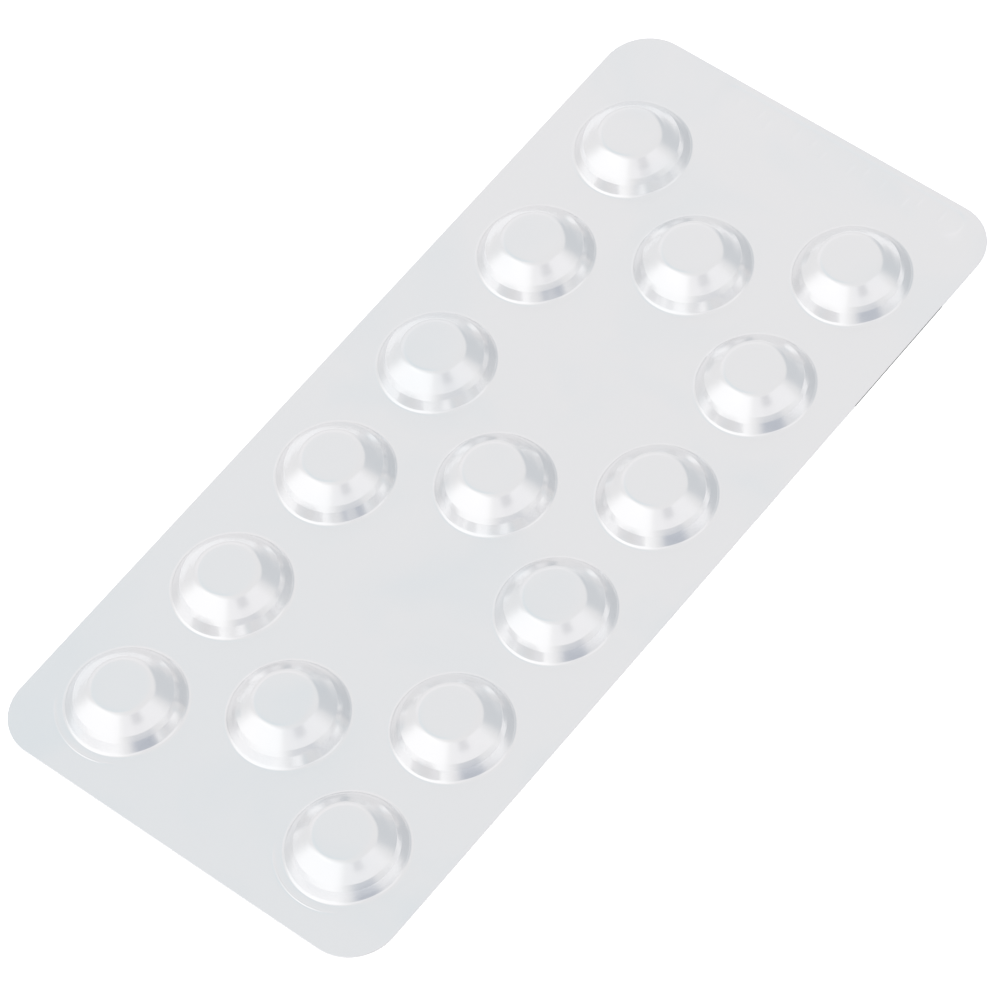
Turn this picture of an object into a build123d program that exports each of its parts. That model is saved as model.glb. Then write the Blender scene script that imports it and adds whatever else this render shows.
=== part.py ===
from build123d import *

import os
from math import radians, tan

# A cold-formed foil blister pack, sealed: a thin foil card with fifteen raised pockets.
# It lies on its flat lidding side, pockets up. X runs across the card and Y along it, towards
# the wider margin that is kept for a batch code. The origin is the middle of the underside.
# The pack is opaque and sealed all round, so it is one closed solid: the card and the filled
# pockets together.

# Driving dimensions, in millimetres and degrees.
card_length = 128.0
card_width = 58.3
card_thickness = 0.18  # formed laminate and lidding foil, sealed together
card_corner_radius = 6.3

pockets_per_outer_column = 6
pockets_in_middle_column = 3

side_margin = 4.38  # from a pocket's foot to the long edge
end_margin = 4.78  # from a pocket's foot to the short edge
code_margin = 8.93  # the same at the end that takes a batch code

pocket_foot_radius = 7.5
pocket_depth = 3.9
crown_radius = 3.95  # the flat top of a pocket, to where its rounded rim would come to a corner
wall_height = 1.45  # steep wall above the card
wall_angle = 60.0
band_height = 0.70  # sloping band between the wall and the flank
band_angle = 54.0
flank_bulge = 0.04  # how far the stretched flank bows out between band and crown

foot_fillet = 0.6
wall_fillet = 0.35
band_fillet = 0.5
crown_fillet = 1.5
pocket_skirt = 0.2  # flat ring around a pocket's foot fillet, level with the card

# What follows from them.
wall_top_radius = pocket_foot_radius - wall_height / tan(radians(wall_angle))
band_top_radius = wall_top_radius - band_height / tan(radians(band_angle))
foot_reach = foot_fillet * tan(radians(wall_angle / 2))
skirt_radius = pocket_foot_radius + foot_reach + pocket_skirt

card_top = card_thickness
wall_top_z = card_top + wall_height
band_top_z = wall_top_z + band_height
crown_z = card_top + pocket_depth

first_pocket_y = card_length / 2 - code_margin - pocket_foot_radius
last_pocket_y = -card_length / 2 + end_margin + pocket_foot_radius
pocket_pitch = (first_pocket_y - last_pocket_y) / (pockets_per_outer_column - 1)
outer_column_x = card_width / 2 - side_margin - pocket_foot_radius


def pocket_places():
    """Centres of the pockets: two outer columns, and a middle one set half a pitch in."""
    places = []
    for row in range(pockets_per_outer_column):
        y = first_pocket_y - row * pocket_pitch
        places += [(-outer_column_x, y), (outer_column_x, y)]
    for row in range(pockets_in_middle_column):
        y = first_pocket_y - (2 * row + 1 / 2) * pocket_pitch
        places.append((0, y))
    return places


# One pocket, as a solid of revolution that reaches down through the card.
foot = (pocket_foot_radius, card_top)
wall_top = (wall_top_radius, wall_top_z)
band_top = (band_top_radius, band_top_z)
crown_edge = (crown_radius, crown_z)

with BuildPart() as pocket:
    with BuildSketch(Plane.XZ) as pocket_section:
        with BuildLine():
            Polyline((0, 0), (skirt_radius, 0), (skirt_radius, card_top), foot, wall_top, band_top)
            SagittaArc(band_top, crown_edge, -flank_bulge)  # negative bows away from the axis
            Polyline(crown_edge, (0, crown_z), (0, 0))
        make_face()
        for corner, radius in (
            (foot, foot_fillet),
            (wall_top, wall_fillet),
            (band_top, band_fillet),
            (crown_edge, crown_fillet),
        ):
            fillet(pocket_section.vertices().sort_by_distance(corner)[0], radius)
    revolve(axis=Axis.Z)

# The card with its pockets.
with BuildPart() as blister_pack:
    with BuildSketch():
        RectangleRounded(card_width, card_length, card_corner_radius)
    extrude(amount=card_thickness)
    with Locations(*pocket_places()):
        add(pocket.part)

blister_pack.part.label = "blister_pack"

os.makedirs("parts", exist_ok=True)
export_step(blister_pack.part, "parts/blister_pack.step")

print("pitch", round(pocket_pitch, 3), "outer column x", round(outer_column_x, 3))
print("volume", round(blister_pack.part.volume, 1), "solids", len(blister_pack.part.solids()))
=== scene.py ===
import math
import random

import bpy
from mathutils import Matrix, Vector
from mathutils.geometry import delaunay_2d_cdt


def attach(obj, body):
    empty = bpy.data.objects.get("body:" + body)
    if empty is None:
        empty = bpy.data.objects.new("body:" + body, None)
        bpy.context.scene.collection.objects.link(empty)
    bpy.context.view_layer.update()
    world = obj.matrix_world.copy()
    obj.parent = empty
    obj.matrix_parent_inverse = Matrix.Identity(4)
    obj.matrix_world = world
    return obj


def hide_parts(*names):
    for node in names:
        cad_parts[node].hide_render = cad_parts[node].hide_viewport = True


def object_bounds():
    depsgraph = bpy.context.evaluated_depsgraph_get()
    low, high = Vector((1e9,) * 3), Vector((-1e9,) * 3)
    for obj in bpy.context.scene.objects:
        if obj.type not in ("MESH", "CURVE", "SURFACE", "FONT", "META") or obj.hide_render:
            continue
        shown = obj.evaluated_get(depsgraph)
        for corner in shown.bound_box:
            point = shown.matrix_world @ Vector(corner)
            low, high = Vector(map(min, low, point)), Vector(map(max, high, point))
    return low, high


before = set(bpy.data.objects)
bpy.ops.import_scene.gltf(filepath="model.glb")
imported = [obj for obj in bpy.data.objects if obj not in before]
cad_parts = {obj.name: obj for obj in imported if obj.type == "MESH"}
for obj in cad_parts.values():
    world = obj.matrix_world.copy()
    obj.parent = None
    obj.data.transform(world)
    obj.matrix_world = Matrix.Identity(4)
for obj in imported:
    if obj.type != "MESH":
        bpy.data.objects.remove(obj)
cadLow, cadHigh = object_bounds()
print("frame loaded:", sorted(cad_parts))

mm = 0.001  # shapes below are worked out in millimetres and scaled once, in makeMesh


# the card's size comes from the frame, and the rest is set here
card = {
    "halfWidth": (cadHigh.x - cadLow.x) / 2 / mm,
    "halfLength": (cadHigh.y - cadLow.y) / 2 / mm,
    "cornerRadius": 6.3,
    "thickness": 0.18,  # both foils together
    "lidThickness": 0.055,
    "cutBevel": 0.03,  # the punch rounds the upper edge over this much
    "meshStep": 1.5,  # spacing of the flat area's points
    "edgeBand": 0.08,  # a thin strip inside the edge, which keeps the flat's shading flat
}

pocket = {
    "footRadius": 7.5,
    "height": (cadHigh.z - cadLow.z) / mm - card["thickness"],
    "crownRadius": 3.95,
    "wallHeight": 1.45,
    "wallAngle": 60.0,
    "bandHeight": 0.70,
    "bandAngle": 54.0,
    "flankBulge": 0.04,
    "footFillet": 0.6,
    "wallFillet": 0.35,
    "bandFillet": 0.5,
    "crownFillet": 1.5,
    "segments": 96,
    "insideSegments": 48,
    "patchRadius": 9.3,  # the round patch of card that each pocket's mesh takes in
    "flatRings": (9.1, 8.2, 7.95),  # its rings of flat card, besides those of the pressed ring
    "crownRings": (0.72, 0.55, 0.36, 0.16),  # shares of the crown's radius
}

layout = {
    "rows": 6,
    "middleRows": 3,
    "sideMargin": 4.38,
    "endMargin": 4.78,
    "codeMargin": 8.93,
}

firstY = card["halfLength"] - layout["codeMargin"] - pocket["footRadius"]
lastY = -card["halfLength"] + layout["endMargin"] + pocket["footRadius"]
pitch = (firstY - lastY) / (layout["rows"] - 1)
columnX = card["halfWidth"] - layout["sideMargin"] - pocket["footRadius"]


def pocketPlaces():
    places = []
    for row in range(layout["rows"]):
        y = firstY - row * pitch
        places += [(-columnX, y), (columnX, y)]
    for row in range(layout["middleRows"]):
        places.append((0.0, firstY - (2 * row + 1 / 2) * pitch))
    return places


def smoothStep(low, high, value):
    t = min(max((value - low) / (high - low), 0.0), 1.0)
    return t * t * (3 - 2 * t)


def makeMesh(name, points, faces, materials, slotOfFace=None):
    mesh = bpy.data.meshes.new(name)
    mesh.from_pydata([Vector(p) * mm for p in points], [], faces)
    for material in materials:
        mesh.materials.append(material)
    if slotOfFace:
        mesh.polygons.foreach_set("material_index", slotOfFace)
    mesh.polygons.foreach_set("use_smooth", [True] * len(mesh.polygons))
    mesh.validate()
    piece = bpy.data.objects.new(name, mesh)
    bpy.context.scene.collection.objects.link(piece)
    return piece


def cardOutline(inset):
    # a rounded rectangle, anticlockwise, as evenly spaced points
    radius = card["cornerRadius"] - inset
    cornerX = card["halfWidth"] - card["cornerRadius"]
    cornerY = card["halfLength"] - card["cornerRadius"]
    corners = ((cornerX, cornerY), (-cornerX, cornerY), (-cornerX, -cornerY), (cornerX, -cornerY))
    cornerSteps = 16
    points = []
    for quarter, (x, y) in enumerate(corners):
        for k in range(cornerSteps + 1):
            angle = math.radians(90 * (quarter + k / cornerSteps))
            points.append(Vector((x + radius * math.cos(angle), y + radius * math.sin(angle))))
        start = points[-1]
        turned = math.radians(90 * (quarter + 1))
        nx, ny = corners[(quarter + 1) % 4]
        stop = Vector((nx + radius * math.cos(turned), ny + radius * math.sin(turned)))
        steps = round((Vector((nx, ny)) - Vector((x, y))).length / card["meshStep"])
        points += [start.lerp(stop, k / steps) for k in range(1, steps)]
    return points


def flatArea(outline, holeRadius, segments, extraPoints=()):
    # triangulates the card round its holes: returns points, faces and each hole's rim
    points = list(outline)
    edges = [(k, (k + 1) % len(points)) for k in range(len(points))]
    rims = []
    for x, y in pocketPlaces():
        start = len(points)
        rims.append(range(start, start + segments))
        for k in range(segments):
            angle = 2 * math.pi * k / segments
            points.append(Vector((x + holeRadius * math.cos(angle), y + holeRadius * math.sin(angle))))
        edges += [(start + k, start + (k + 1) % segments) for k in range(segments)]

    def clearOfRims(p, room):
        return all(math.hypot(p[0] - x, p[1] - y) > holeRadius + room for x, y in pocketPlaces())

    def insideCard(p, room):
        dx = max(abs(p[0]) - (card["halfWidth"] - card["cornerRadius"]), 0)
        dy = max(abs(p[1]) - (card["halfLength"] - card["cornerRadius"]), 0)
        return math.hypot(dx, dy) < card["cornerRadius"] - room

    step = card["meshStep"]
    rimRoom, edgeRoom = step * 0.4, step * 0.6
    filled = [p for p in extraPoints if clearOfRims(p, 0.1)]
    taken = {(round(p[0] / step), round(p[1] / step)) for p in filled}
    rows = int(card["halfLength"] / step) + 1
    columns = int(card["halfWidth"] / step) + 1
    for row in range(-rows, rows + 1):
        for column in range(-columns, columns + 1):
            p = ((column + row % 2 / 2) * step, row * step)
            near = (round(p[0] / step), round(p[1] / step)) in taken
            if not near and clearOfRims(p, rimRoom) and insideCard(p, edgeRoom):
                filled.append(p)
    points += [Vector(p) for p in filled]
    made, _, faces, sources, _, _ = delaunay_2d_cdt(points, edges, [], 0, 1e-6)
    newIndex = {old: new for new, olds in enumerate(sources) for old in olds}
    rims = [[newIndex[k] for k in rim] for rim in rims]
    border = [newIndex[k] for k in range(len(outline))]
    kept = []
    for face in faces:
        centre = sum((made[k] for k in face), Vector((0, 0))) / 3
        if clearOfRims(centre, -0.001 * holeRadius):
            kept.append(tuple(face))
    return made, kept, rims, border


def roundedCorner(before, corner, after, radius, steps):
    # the arc that rounds a corner of a section, as points
    a = (Vector(before) - Vector(corner)).normalized()
    b = (Vector(after) - Vector(corner)).normalized()
    half = a.angle(b) / 2
    centre = Vector(corner) + (a + b).normalized() * radius / math.sin(half)
    start = Vector(corner) + a * radius / math.tan(half) - centre
    stop = Vector(corner) + b * radius / math.tan(half) - centre
    turn = start.angle_signed(stop)
    arc = []
    for k in range(steps + 1):
        angle = -turn * k / steps
        arc.append(centre + Matrix.Rotation(angle, 2) @ start)
    return arc


def pocketSection(shrink, detail):
    # radius and height from the card inwards to the crown; shrink moves it in by a foil's thickness
    top = card["thickness"] - shrink
    wallLean = math.tan(math.radians(pocket["wallAngle"]))
    bandLean = math.tan(math.radians(pocket["bandAngle"]))
    foot = Vector((pocket["footRadius"] - shrink, top))
    wallTop = foot + Vector((-pocket["wallHeight"] / wallLean, pocket["wallHeight"]))
    bandTop = wallTop + Vector((-pocket["bandHeight"] / bandLean, pocket["bandHeight"]))
    crown = Vector((pocket["crownRadius"] - shrink / 2, top + pocket["height"]))
    outer = Vector((pocket["patchRadius"], top))
    inward = crown + Vector((-1, 0))
    section = roundedCorner(outer, foot, wallTop, pocket["footFillet"], 7 * detail)
    section += roundedCorner(foot, wallTop, bandTop, pocket["wallFillet"], 3 * detail)
    section += roundedCorner(wallTop, bandTop, crown, pocket["bandFillet"], 3 * detail)
    crownArc = roundedCorner(bandTop, crown, inward, pocket["crownFillet"], 8 * detail)
    flankStart, flankStop = section[-1], crownArc[0]
    across = (flankStop - flankStart).orthogonal().normalized()
    if across.y < 0:
        across = -across
    flankSteps = 6 * detail
    for k in range(1, flankSteps):
        t = k / flankSteps
        bulge = pocket["flankBulge"] * 16 * (t * (1 - t)) ** 2
        section.append(flankStart.lerp(flankStop, t) + across * bulge)
    return section + crownArc


# the formed foil is the card's upper side with its pockets
handMarksAndPaintedShadow = {
    "seed": 41,
    "crownWobble": 0.035,  # how far a crown's rim strays from a circle
    "crownTilt": 0.022,
    "cardWave": 0.012,
    "nestRadius": 8.72,  # the ring pressed round the end pockets by the forming plate
    "nestWidth": 0.09,
    "nestHeight": 0.06,
    "nestStep": 0.06,  # spacing of the mesh's rings over it
    "nestFrom": 205.0,
    "nestTo": 305.0,
    "nestFade": 25.0,
    "codeY": 2.9,  # middle of the pressed strip, in from the short edge
    "codeHalfWidth": 1.9,
    "codeLeft": -14.0,
    "codeRight": 24.2,
    "codeDepth": 0.045,
    "barCount": 12,
    "barDepth": 0.05,
    "barHalfWidth": 0.24,
    "markEdge": 0.09,  # half the width of a pressed mark's sloping side
    "barStray": 0.55,  # the bars are pressed unevenly
    "paintedShadowFrom": 31.0,  # one stretch of a long edge is painted dark: a painted shadow, as under an edge lifted off the table
    "paintedShadowTo": 49.0,
    "tick": (13.7, 55.9),  # a small nick above one pocket
    "tickDepth": 0.06,
    "tickWidth": 0.22,
    "tickGrid": 0.12,  # spacing of the mesh's points over it
}


def codeMarks():
    # a shallow pressed strip with round ends and a row of plain bars in it, each as its middle,
    # reach either way, end radius and depth; the sines make the bars uneven
    halfWidth = handMarksAndPaintedShadow["codeHalfWidth"]
    middle = card["halfLength"] - handMarksAndPaintedShadow["codeY"]
    left = handMarksAndPaintedShadow["codeLeft"] + halfWidth
    right = handMarksAndPaintedShadow["codeRight"] - halfWidth
    marks = [((left + right) / 2, middle, (right - left) / 2, 0.0, halfWidth, handMarksAndPaintedShadow["codeDepth"])]
    for k in range(handMarksAndPaintedShadow["barCount"]):
        x = left + (k + 0.5 + 0.25 * math.sin(k * 2.3)) * (right - left) / handMarksAndPaintedShadow["barCount"]
        y = middle + handMarksAndPaintedShadow["barStray"] * math.sin(k * 1.9 + 0.7)
        reach = 0.5 + 0.2 * math.sin(k * 3.1)
        marks.append((x, y, 0.0, reach, handMarksAndPaintedShadow["barHalfWidth"], handMarksAndPaintedShadow["barDepth"]))
    return marks


pressedMarks = codeMarks()


def stripDepth(x, y):
    depth = 0.0
    for markX, markY, reachX, reachY, radius, markDepth in pressedMarks:
        dx = max(abs(x - markX) - reachX, 0)
        dy = max(abs(y - markY) - reachY, 0)
        inside = radius - math.hypot(dx, dy)
        depth += markDepth * smoothStep(-handMarksAndPaintedShadow["markEdge"], handMarksAndPaintedShadow["markEdge"], inside)
    return depth


def markOutlines():
    # points along each mark's edge, in rings close enough to carry its sloping side
    points = []
    for x, y, reachX, reachY, radius, _ in pressedMarks:
        spacing = 0.1 if radius < 1 else 0.25
        for ring in (-1.5, -0.9, -0.3, 0.3, 0.9, 1.5):
            size = radius + ring * handMarksAndPaintedShadow["markEdge"]
            turns = 4 * max(3, round(math.pi * size / 2 / spacing))
            for k in range(turns):
                angle = 2 * math.pi * (k + 0.5) / turns
                c, s = math.cos(angle), math.sin(angle)
                px = x + math.copysign(reachX, c) + size * c
                py = y + math.copysign(reachY, s) + size * s
                points.append((px, py))
            alongX = round(2 * reachX / spacing)
            alongY = round(2 * reachY / spacing)
            for side in (-1, 1):
                for k in range(1, alongX):
                    points.append((x - reachX + 2 * reachX * k / alongX, y + side * (reachY + size)))
                for k in range(1, alongY):
                    points.append((x + side * (reachX + size), y - reachY + 2 * reachY * k / alongY))
    return points


def cardWave(x, y):
    # the very slight unevenness of a card that has been handled
    wave = math.sin(x * 0.13 + 1.1 + math.sin(y * 0.05)) * math.sin(y * 0.082 + 0.6)
    wave += 0.5 * math.sin(x * 0.21 - y * 0.11 + 2.0)
    return -handMarksAndPaintedShadow["cardWave"] * (wave + 1.5) / 2


def nickDepth(x, y):
    nx, ny = handMarksAndPaintedShadow["tick"]
    away = math.hypot(x - nx, y - ny) / handMarksAndPaintedShadow["tickWidth"]
    return handMarksAndPaintedShadow["tickDepth"] * math.exp(-away * away)


def cardTop(x, y):
    # the card's height, flat at its edges, less what is pressed into it
    edge = min(card["halfWidth"] - abs(x), card["halfLength"] - abs(y))
    return card["thickness"] + cardWave(x, y) * smoothStep(0, 3, edge) - stripDepth(x, y) - nickDepth(x, y)


def pocketPatch(x, y, shaker):
    # every ring of one pocket, from the patch's rim to the crown, as lists of points
    section = pocketSection(0, 1)
    nestRings = [handMarksAndPaintedShadow["nestRadius"] + handMarksAndPaintedShadow["nestStep"] * k for k in range(3, -5, -1)]
    rings = sorted([*pocket["flatRings"], *nestRings], reverse=True)
    lowest = y < lastY + 0.1
    tiltWay = shaker.uniform(0, 2 * math.pi)
    tilt = handMarksAndPaintedShadow["crownTilt"] * shaker.uniform(0.3, 1)
    lobes = [(n, shaker.uniform(0, 2 * math.pi), shaker.uniform(0.4, 1)) for n in (3, 5, 8)]
    nestSize = handMarksAndPaintedShadow["nestRadius"] + shaker.uniform(-0.05, 0.05)
    steps = [(radius, None) for radius in rings] + [(p.x, p.y) for p in section]
    crownTop = card["thickness"] + pocket["height"]
    steps += [(pocket["crownRadius"] * share, crownTop) for share in pocket["crownRings"]]
    made = []
    for radius, height in steps:
        ring = []
        for k in range(pocket["segments"]):
            angle = 2 * math.pi * k / pocket["segments"]
            r = radius
            if height is None:
                px, py = x + r * math.cos(angle), y + r * math.sin(angle)
                z = cardTop(px, py)
                if lowest:
                    turn = math.degrees(angle)
                    start, stop = handMarksAndPaintedShadow["nestFrom"], handMarksAndPaintedShadow["nestTo"]
                    fade = smoothStep(start, start + handMarksAndPaintedShadow["nestFade"], turn)
                    fade *= smoothStep(stop, stop - handMarksAndPaintedShadow["nestFade"], turn)
                    away = (r - nestSize) / handMarksAndPaintedShadow["nestWidth"]
                    z += handMarksAndPaintedShadow["nestHeight"] * fade * math.exp(-away * away)
            else:
                raised = (height - card["thickness"]) / pocket["height"]
                wobble = sum(size * math.sin(n * angle + phase) for n, phase, size in lobes)
                wobble *= smoothStep(0.3, 1, raised) * smoothStep(1, 3.5, r)
                r += handMarksAndPaintedShadow["crownWobble"] * wobble / 3
                px, py = x + r * math.cos(angle), y + r * math.sin(angle)
                z = height - tilt * raised * (1 + math.cos(angle - tiltWay) * r / pocket["crownRadius"]) / 2
                z += (cardTop(px, py) - card["thickness"]) * (1 - raised)
            ring.append((px, py, z))
        made.append(ring)
    return made


def buildFormedFoil(foilMaterial, cutMaterial, paintedShadowMaterial):
    shaker = random.Random(handMarksAndPaintedShadow["seed"])
    segments = pocket["segments"]
    finePoints = markOutlines()
    nx, ny = handMarksAndPaintedShadow["tick"]
    grid = handMarksAndPaintedShadow["tickGrid"]
    finePoints += [(nx + i * grid, ny + j * grid) for i in range(-5, 6) for j in range(-5, 6)]
    bevel = card["cutBevel"]
    finePoints += [(p.x, p.y) for p in cardOutline(bevel + card["edgeBand"])]
    flat, faces, rims, border = flatArea(cardOutline(bevel), pocket["patchRadius"], segments, finePoints)
    points = [(p.x, p.y, cardTop(p.x, p.y)) for p in flat]
    faces = [tuple(face) for face in faces]
    slots = [0] * len(faces)

    for index, (x, y) in enumerate(pocketPlaces()):
        outer = list(rims[index])
        for ring in pocketPatch(x, y, shaker):
            inner = list(range(len(points), len(points) + segments))
            points += ring
            for k in range(segments):
                n = (k + 1) % segments
                faces.append((outer[k], outer[n], inner[n], inner[k]))
            outer = inner
        tip = len(points)
        points.append((x, y, sum(points[k][2] for k in outer) / segments))
        faces += [(outer[k], outer[(k + 1) % segments], tip) for k in range(segments)]

    # the inner side, out of sight: the same pockets, one foil's thickness in
    wallThickness = card["thickness"] - card["lidThickness"]
    coarse = pocket["insideSegments"]
    under, underFaces, underRims, underBorder = flatArea(cardOutline(0), pocket["patchRadius"], coarse)
    base = len(points)
    points += [(p.x, p.y, card["lidThickness"]) for p in under]
    faces += [tuple(base + k for k in reversed(face)) for face in underFaces]
    inside = pocketSection(wallThickness, 1)[::3]
    for index, (x, y) in enumerate(pocketPlaces()):
        outer = [base + k for k in underRims[index]]
        for p in inside:
            inner = list(range(len(points), len(points) + coarse))
            for k in range(coarse):
                angle = 2 * math.pi * k / coarse
                points.append((x + p.x * math.cos(angle), y + p.x * math.sin(angle), p.y))
            for k in range(coarse):
                n = (k + 1) % coarse
                faces.append((outer[n], outer[k], inner[k], inner[n]))
            outer = inner
        tip = len(points)
        points.append((x, y, inside[-1].y))
        faces += [(outer[(k + 1) % coarse], outer[k], tip) for k in range(coarse)]
    slots += [0] * (len(faces) - len(slots))

    # the punched edge
    shoulder = len(points)
    points += [(p.x, p.y, card["thickness"] - bevel) for p in cardOutline(0)]
    count = len(border)
    for k in range(count):
        n = (k + 1) % count
        faces.append((border[n], border[k], shoulder + k, shoulder + n))
        faces.append((shoulder + n, shoulder + k, base + underBorder[k], base + underBorder[n]))
        x, y, _ = points[shoulder + k]
        # this stretch of the cut edge gets the near-black foil, a painted shadow as under an edge lifted
        # off the table
        inPaintedShadow = x > card["halfWidth"] - 0.1 and handMarksAndPaintedShadow["paintedShadowFrom"] < y < handMarksAndPaintedShadow["paintedShadowTo"]
        slots += [2, 2] if inPaintedShadow else [0, 1]
    return makeMesh("formed_foil", points, faces, [foilMaterial, cutMaterial, paintedShadowMaterial], slots)


# the lidding foil is the flat underside, sealed to the card all round the pockets
lid = {
    "mouthRadius": 7.1,
    "dip": 0.03,  # the lid sinks into each pocket by this much
    "inset": 0.02,
    "clearance": 0.002,  # between the two foils
    "segments": 48,
    "rings": ((0.985, 0.55), (0.96, 0.95), (0.9, 1.0), (0.6, 0.96), (0.3, 0.94)),  # radius, dip
}


def buildLidFoil(sealMaterial, mouthMaterial, cutMaterial):
    outline = cardOutline(lid["inset"])
    under, faces, rims, border = flatArea(outline, lid["mouthRadius"], lid["segments"])
    points = [(p.x, p.y, 0.0) for p in under]
    count = len(points)
    faces = [tuple(reversed(face)) for face in faces]
    slots = [0] * len(faces)
    top = card["lidThickness"] - lid["clearance"]
    upperFaces = [tuple(count + k for k in reversed(face)) for face in faces]
    points += [(p.x, p.y, top) for p in under]
    faces += upperFaces
    slots += [0] * len(upperFaces)
    for side in (0, 1):
        for index, (x, y) in enumerate(pocketPlaces()):
            outer = [side * count + k for k in rims[index]]
            for share, sunk in lid["rings"]:
                inner = list(range(len(points), len(points) + lid["segments"]))
                for k in range(lid["segments"]):
                    angle = 2 * math.pi * k / lid["segments"]
                    r = lid["mouthRadius"] * share
                    z = side * top + lid["dip"] * sunk * (1 - side)
                    points.append((x + r * math.cos(angle), y + r * math.sin(angle), z))
                for k in range(lid["segments"]):
                    n = (k + 1) % lid["segments"]
                    quad = (outer[n], outer[k], inner[k], inner[n])
                    faces.append(quad if side == 0 else tuple(reversed(quad)))
                    slots.append(1)
                outer = inner
            tip = len(points)
            points.append((x, y, points[outer[0]][2]))
            for k in range(lid["segments"]):
                fan = (outer[(k + 1) % lid["segments"]], outer[k], tip)
                faces.append(fan if side == 0 else tuple(reversed(fan)))
                slots.append(1)
    for k in range(len(border)):
        n = (k + 1) % len(border)
        faces.append((count + border[n], count + border[k], border[k], border[n]))
        slots.append(2)
    return makeMesh("lidding_foil", points, faces, [sealMaterial, mouthMaterial, cutMaterial], slots)


def socket(group, name, kind, isInput, value=None):
    made = group.interface.new_socket(name=name, in_out="INPUT" if isInput else "OUTPUT", socket_type=kind)
    if value is not None:
        made.default_value = value


def node(tree, kind, values=None, **settings):
    made = tree.nodes.new(kind)
    for name, value in settings.items():
        setattr(made, name, value)
    for name, value in (values or {}).items():
        made.inputs[name].default_value = value
    return made


def buildFoilSkin():
    # rolled foil: fine lines along the card, soft cloudy tone, and a fine orange peel
    group = bpy.data.node_groups.new("foilSkin", "ShaderNodeTree")
    socket(group, "Tone", "NodeSocketColor", True, (0.9, 0.9, 0.9, 1))
    socket(group, "Cool Tone", "NodeSocketColor", True, (0.88, 0.9, 0.91, 1))
    socket(group, "Cloud Scale", "NodeSocketFloat", True, 60.0)
    socket(group, "Grain Scale", "NodeSocketFloat", True, 2600.0)
    socket(group, "Smoothness", "NodeSocketFloat", True, 0.2)
    socket(group, "Unevenness", "NodeSocketFloat", True, 0.04)
    socket(group, "Color", "NodeSocketColor", False)
    socket(group, "Roughness", "NodeSocketFloat", False)
    socket(group, "Height", "NodeSocketFloat", False)
    into = group.nodes.new("NodeGroupInput")
    out = group.nodes.new("NodeGroupOutput")
    place = group.nodes.new("ShaderNodeTexCoord")
    link = group.links.new

    clouds = node(group, "ShaderNodeTexNoise", {"Detail": 3.0, "Roughness": 0.55, "Distortion": 0.6})
    link(place.outputs["Object"], clouds.inputs["Vector"])
    link(into.outputs["Cloud Scale"], clouds.inputs["Scale"])
    cloudRange = node(group, "ShaderNodeMapRange", {"From Min": 0.48, "From Max": 0.72})
    link(clouds.outputs["Fac"], cloudRange.inputs["Value"])
    tone = node(group, "ShaderNodeMix", data_type="RGBA")
    link(cloudRange.outputs["Result"], tone.inputs["Factor"])
    link(into.outputs["Tone"], tone.inputs["A"])
    link(into.outputs["Cool Tone"], tone.inputs["B"])
    link(tone.outputs["Result"], out.inputs["Color"])

    stretch = node(group, "ShaderNodeMapping", {"Scale": (1.0, 0.06, 1.0)})
    link(place.outputs["Object"], stretch.inputs["Vector"])
    lines = node(group, "ShaderNodeTexNoise", {"Detail": 2.0, "Roughness": 0.5})
    link(stretch.outputs["Vector"], lines.inputs["Vector"])
    link(into.outputs["Grain Scale"], lines.inputs["Scale"])
    peel = node(group, "ShaderNodeTexNoise", {"Detail": 2.0, "Roughness": 0.5, "Scale": 1400.0})
    link(place.outputs["Object"], peel.inputs["Vector"])
    height = node(group, "ShaderNodeMath", operation="ADD")
    link(lines.outputs["Fac"], height.inputs[0])
    link(peel.outputs["Fac"], height.inputs[1])
    link(height.outputs["Value"], out.inputs["Height"])

    centred = node(group, "ShaderNodeMath", {1: 0.5}, operation="SUBTRACT")
    link(clouds.outputs["Fac"], centred.inputs[0])
    spread = node(group, "ShaderNodeMath", operation="MULTIPLY_ADD")
    link(centred.outputs["Value"], spread.inputs[0])
    link(into.outputs["Unevenness"], spread.inputs[1])
    link(into.outputs["Smoothness"], spread.inputs[2])
    link(spread.outputs["Value"], out.inputs["Roughness"])
    return group


def foilMaterial(name, skin, tone, coolTone, smoothness, bump, coat=0.0, cloudScale=45.0):
    material = bpy.data.materials.new(name)
    material.use_nodes = True
    tree = material.node_tree
    shader = tree.nodes["Principled BSDF"]
    shader.inputs["Metallic"].default_value = 1.0
    shader.inputs["Coat Weight"].default_value = coat
    shader.inputs["Coat Roughness"].default_value = 0.12
    surface = node(tree, "ShaderNodeGroup", node_tree=skin)
    surface.inputs["Tone"].default_value = (*tone, 1)
    surface.inputs["Cool Tone"].default_value = (*coolTone, 1)
    surface.inputs["Smoothness"].default_value = smoothness
    surface.inputs["Cloud Scale"].default_value = cloudScale
    relief = node(tree, "ShaderNodeBump", {"Strength": bump, "Distance": 0.00001})
    tree.links.new(surface.outputs["Color"], shader.inputs["Base Color"])
    tree.links.new(surface.outputs["Roughness"], shader.inputs["Roughness"])
    tree.links.new(surface.outputs["Height"], relief.inputs["Height"])
    tree.links.new(relief.outputs["Normal"], shader.inputs["Normal"])
    return material, surface, relief


# the sealing roll leaves a fine crossed grid on the lid
knurl = {
    "ribScale": 400.0,
    "ribHeight": 6.0,
    "turn": 45.0,
}


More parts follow.
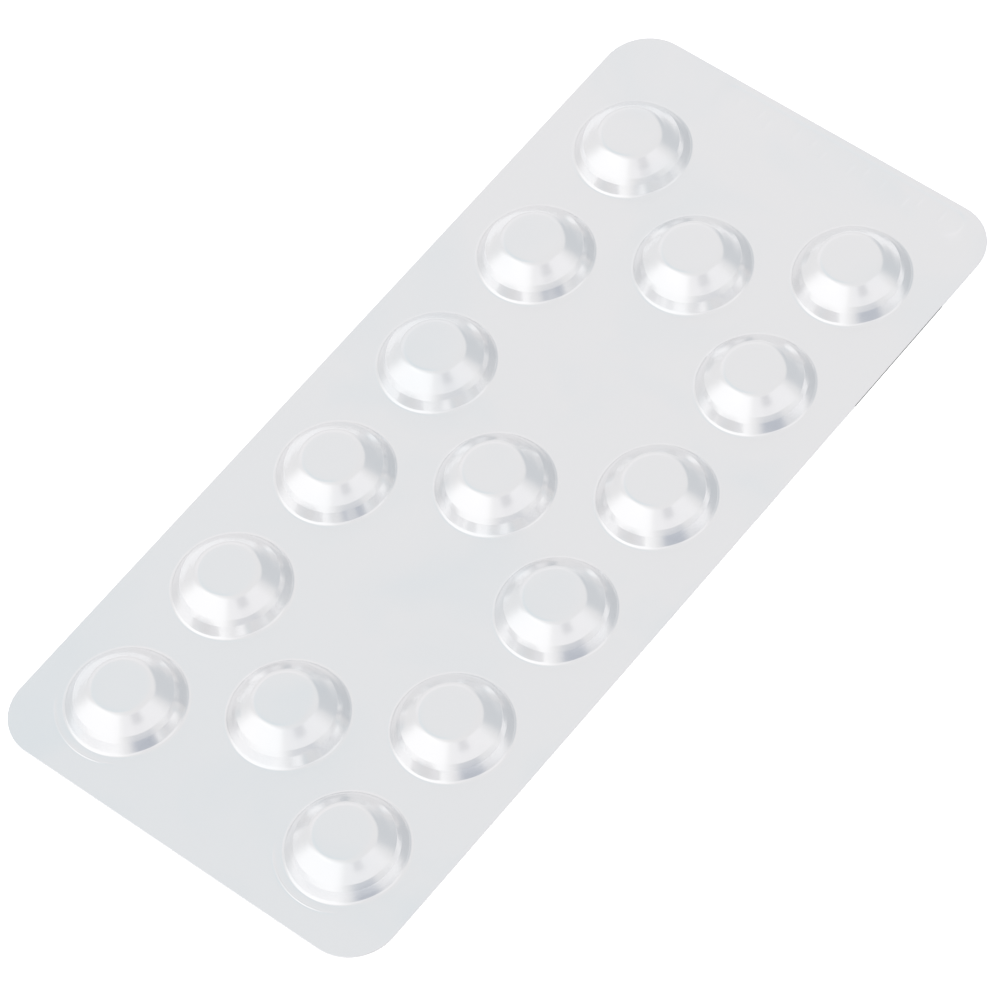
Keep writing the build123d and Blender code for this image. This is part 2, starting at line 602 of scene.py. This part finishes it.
def addKnurl(material, surface, relief):
    tree = material.node_tree
    place = tree.nodes.new("ShaderNodeTexCoord")
    turned = node(tree, "ShaderNodeMapping", {"Rotation": (0, 0, math.radians(knurl["turn"]))})
    tree.links.new(place.outputs["Object"], turned.inputs["Vector"])
    total = surface.outputs["Height"]
    for direction in ("X", "Y"):
        ribs = node(tree, "ShaderNodeTexWave", {"Scale": knurl["ribScale"]}, bands_direction=direction)
        tree.links.new(turned.outputs["Vector"], ribs.inputs["Vector"])
        mixed = node(tree, "ShaderNodeMath", {1: knurl["ribHeight"]}, operation="MULTIPLY_ADD")
        tree.links.new(ribs.outputs["Fac"], mixed.inputs[0])
        tree.links.new(total, mixed.inputs[2])
        total = mixed.outputs["Value"]
    tree.links.new(total, relief.inputs["Height"])


foilSkin = buildFoilSkin()
formedMaterial, _, _ = foilMaterial(
    "formedFoil", foilSkin, (0.905, 0.905, 0.91), (0.862, 0.884, 0.898), 0.2, 0.25, coat=0.15
)
cutMaterial, _, _ = foilMaterial("cutEdge", foilSkin, (0.8, 0.8, 0.8), (0.74, 0.74, 0.75), 0.4, 0.3)
# near-black foil that paints a shadow along one stretch of the cut edge
paintedShadowMaterial, _, _ = foilMaterial("paintedShadowEdge", foilSkin, (0.05, 0.05, 0.05), (0.04, 0.04, 0.05), 0.6, 0.2)
sealMaterial, sealSurface, sealRelief = foilMaterial(
    "sealedLid", foilSkin, (0.86, 0.86, 0.87), (0.83, 0.84, 0.85), 0.32, 0.5
)
addKnurl(sealMaterial, sealSurface, sealRelief)
mouthMaterial, _, _ = foilMaterial(
    "lidOverPocket", foilSkin, (0.88, 0.88, 0.89), (0.85, 0.86, 0.87), 0.24, 0.4
)
print("materials made")

formedFoil = buildFormedFoil(formedMaterial, cutMaterial, paintedShadowMaterial)
print("formed foil:", sum(len(face.vertices) - 2 for face in formedFoil.data.polygons), "triangles")
liddingFoil = buildLidFoil(sealMaterial, mouthMaterial, cutMaterial)
print("lidding foil:", sum(len(face.vertices) - 2 for face in liddingFoil.data.polygons), "triangles")

for piece in (formedFoil, liddingFoil):
    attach(piece, "root")
    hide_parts("blister_pack")


studio = {
    "floorSize": 6.0,
    "floorTone": (0.93, 0.93, 0.935),
    "floorRoughness": 0.9,
    "floorGlow": 0.5,  # a lit white table: this much more towards the camera
    "floorLight": 0.12,  # and this much in every direction
    "ambient": (0.862, 0.86, 0.868),
}

# soft panels and grey cards round the pack: direction, size and edge in degrees, and what each adds
panels = {
    "keySoftbox": {"at": (252, 31), "half": (46, 36), "soft": 12, "adds": (0.235, 0.235, 0.235)},
    "keyUpper": {"at": (225, 66), "half": (40, 16), "soft": 12, "adds": (0.08, 0.08, 0.08)},
    "frontPanel": {"at": (350, 44), "half": (46, 14), "soft": 8, "adds": (0.085, 0.083, 0.09)},
    "sideStrip": {"at": (22, 16), "half": (10, 16), "soft": 6, "adds": (0.07, 0.07, 0.07)},
    "cameraBody": {"at": (338, 50), "half": (13, 5), "soft": 5, "adds": (-0.26, -0.255, -0.245)},
    "standBelow": {"at": (333, 2), "half": (19, 13), "soft": 9, "adds": (-0.33, -0.3, -0.25)},
    "lowRail": {"at": (350, -4), "half": (34, 9), "soft": 6, "adds": (-0.16, -0.15, -0.13)},
    "lowCard": {"at": (44, 9), "half": (8, 10), "soft": 6, "adds": (-0.11, -0.1, -0.09)},
    "rightFlag": {"at": (78, 21), "half": (30, 17), "soft": 9, "adds": (-0.21, -0.185, -0.165)},
    "backPanel": {"at": (150, 36), "half": (30, 12), "soft": 8, "adds": (0.06, 0.055, 0.06)},
    "coolCeiling": {"at": (165, 68), "half": (20, 14), "soft": 9, "adds": (-0.09, -0.032, -0.01)},
}

shot = {
    "aim": (1.8, -3.45, card["thickness"]),
    "azimuth": 47.42,
    "elevation": 56.72,
    "roll": 10.55,
    "distance": 644.4,
    "lens": 190.5,
}


def buildFloor():
    half = studio["floorSize"] / 2
    corners = [(-half, -half, 0), (half, -half, 0), (half, half, 0), (-half, half, 0)]
    mesh = bpy.data.meshes.new("floor")
    mesh.from_pydata(corners, [], [(0, 1, 2, 3)])
    floor = bpy.data.objects.new("floor", mesh)
    bpy.context.scene.collection.objects.link(floor)
    material = bpy.data.materials.new("whiteTable")
    material.use_nodes = True
    shader = material.node_tree.nodes["Principled BSDF"]
    shader.inputs["Base Color"].default_value = (*studio["floorTone"], 1)
    shader.inputs["Roughness"].default_value = studio["floorRoughness"]
    shader.inputs["Emission Color"].default_value = (1, 1, 1, 1)
    path = material.node_tree.nodes.new("ShaderNodeLightPath")
    glow = node(material.node_tree, "ShaderNodeMath", operation="MULTIPLY_ADD")
    glow.inputs[1].default_value = studio["floorGlow"]
    glow.inputs[2].default_value = studio["floorLight"]
    material.node_tree.links.new(path.outputs["Is Camera Ray"], glow.inputs[0])
    material.node_tree.links.new(glow.outputs["Value"], shader.inputs["Emission Strength"])
    mesh.materials.append(material)


def buildSoftPanel():
    # a soft-edged panel of sky: 1 inside, 0 outside
    group = bpy.data.node_groups.new("softPanel", "ShaderNodeTree")
    for name in ("Azimuth", "Centre Azimuth", "Half Width"):
        socket(group, name, "NodeSocketFloat", True, 0.0)
    for name in ("Elevation", "Centre Elevation", "Half Height", "Softness"):
        socket(group, name, "NodeSocketFloat", True, 0.0)
    socket(group, "Mask", "NodeSocketFloat", False)
    into = group.nodes.new("NodeGroupInput")
    out = group.nodes.new("NodeGroupOutput")
    link = group.links.new
    sides = []
    across = ("Azimuth", "Centre Azimuth", "Half Width")
    upright = ("Elevation", "Centre Elevation", "Half Height")
    for angle, centre, half in (across, upright):
        apart = node(group, "ShaderNodeMath", operation="SUBTRACT")
        link(into.outputs[angle], apart.inputs[0])
        link(into.outputs[centre], apart.inputs[1])
        wrapped = node(group, "ShaderNodeMath", {1: 180.0, 2: -180.0}, operation="WRAP")
        link(apart.outputs["Value"], wrapped.inputs[0])
        size = node(group, "ShaderNodeMath", operation="ABSOLUTE")
        link(wrapped.outputs["Value"], size.inputs[0])
        low = node(group, "ShaderNodeMath", operation="SUBTRACT")
        high = node(group, "ShaderNodeMath", operation="ADD")
        for end in (low, high):
            link(into.outputs[half], end.inputs[0])
            link(into.outputs["Softness"], end.inputs[1])
        fade = node(group, "ShaderNodeMapRange", {"To Min": 1.0, "To Max": 0.0})
        fade.interpolation_type = "SMOOTHSTEP"
        link(size.outputs["Value"], fade.inputs["Value"])
        link(low.outputs["Value"], fade.inputs["From Min"])
        link(high.outputs["Value"], fade.inputs["From Max"])
        sides.append(fade)
    both = node(group, "ShaderNodeMath", operation="MULTIPLY")
    link(sides[0].outputs["Result"], both.inputs[0])
    link(sides[1].outputs["Result"], both.inputs[1])
    link(both.outputs["Value"], out.inputs["Mask"])
    return group


def buildWorld():
    world = bpy.data.worlds.new("studioLight")
    bpy.context.scene.world = world
    world.use_nodes = True
    tree = world.node_tree
    link = tree.links.new
    background = tree.nodes["Background"]
    place = tree.nodes.new("ShaderNodeTexCoord")
    parts = tree.nodes.new("ShaderNodeSeparateXYZ")
    link(place.outputs["Generated"], parts.inputs["Vector"])
    turn = node(tree, "ShaderNodeMath", operation="ARCTAN2")
    link(parts.outputs["Y"], turn.inputs[0])
    link(parts.outputs["X"], turn.inputs[1])
    azimuth = node(tree, "ShaderNodeMath", operation="DEGREES")
    link(turn.outputs["Value"], azimuth.inputs[0])
    rise = node(tree, "ShaderNodeMath", operation="ARCSINE")
    link(parts.outputs["Z"], rise.inputs[0])
    elevation = node(tree, "ShaderNodeMath", operation="DEGREES")
    link(rise.outputs["Value"], elevation.inputs[0])
    softPanel = buildSoftPanel()
    total = node(tree, "ShaderNodeCombineXYZ", dict(zip("XYZ", studio["ambient"]))).outputs["Vector"]
    for name, panel in panels.items():
        mask = node(tree, "ShaderNodeGroup", node_tree=softPanel, label=name)
        link(azimuth.outputs["Value"], mask.inputs["Azimuth"])
        link(elevation.outputs["Value"], mask.inputs["Elevation"])
        mask.inputs["Centre Azimuth"].default_value = panel["at"][0]
        mask.inputs["Centre Elevation"].default_value = panel["at"][1]
        mask.inputs["Half Width"].default_value = panel["half"][0]
        mask.inputs["Half Height"].default_value = panel["half"][1]
        mask.inputs["Softness"].default_value = panel["soft"]
        added = node(tree, "ShaderNodeVectorMath", {0: panel["adds"]}, operation="SCALE")
        link(mask.outputs["Mask"], added.inputs["Scale"])
        both = node(tree, "ShaderNodeVectorMath", operation="ADD")
        link(total, both.inputs[0])
        link(added.outputs["Vector"], both.inputs[1])
        total = both.outputs["Vector"]
    link(total, background.inputs["Color"])
    background.inputs["Strength"].default_value = 1.0


def buildCamera():
    data = bpy.data.cameras.new("camera")
    data.lens = shot["lens"]
    data.sensor_width = 36
    camera = bpy.data.objects.new("camera", data)
    bpy.context.scene.collection.objects.link(camera)
    a, e = math.radians(shot["azimuth"]), math.radians(shot["elevation"])
    back = Vector((math.sin(a) * math.cos(e), -math.cos(a) * math.cos(e), math.sin(e)))
    level = Vector((0, 0, 1)).cross(back).normalized()
    up = back.cross(level)
    roll = math.radians(shot["roll"])
    right = level * math.cos(roll) - up * math.sin(roll)
    up = back.cross(right)
    turned = Matrix((right, up, back)).transposed().to_4x4()
    place = Vector(shot["aim"]) * mm + back * shot["distance"] * mm
    camera.matrix_world = Matrix.Translation(place) @ turned
    data.clip_start = 0.01
    data.clip_end = 20
    bpy.context.scene.camera = camera


buildFloor()
buildWorld()
buildCamera()
bpy.context.scene.view_settings.view_transform = "Standard"
print("studio ready")
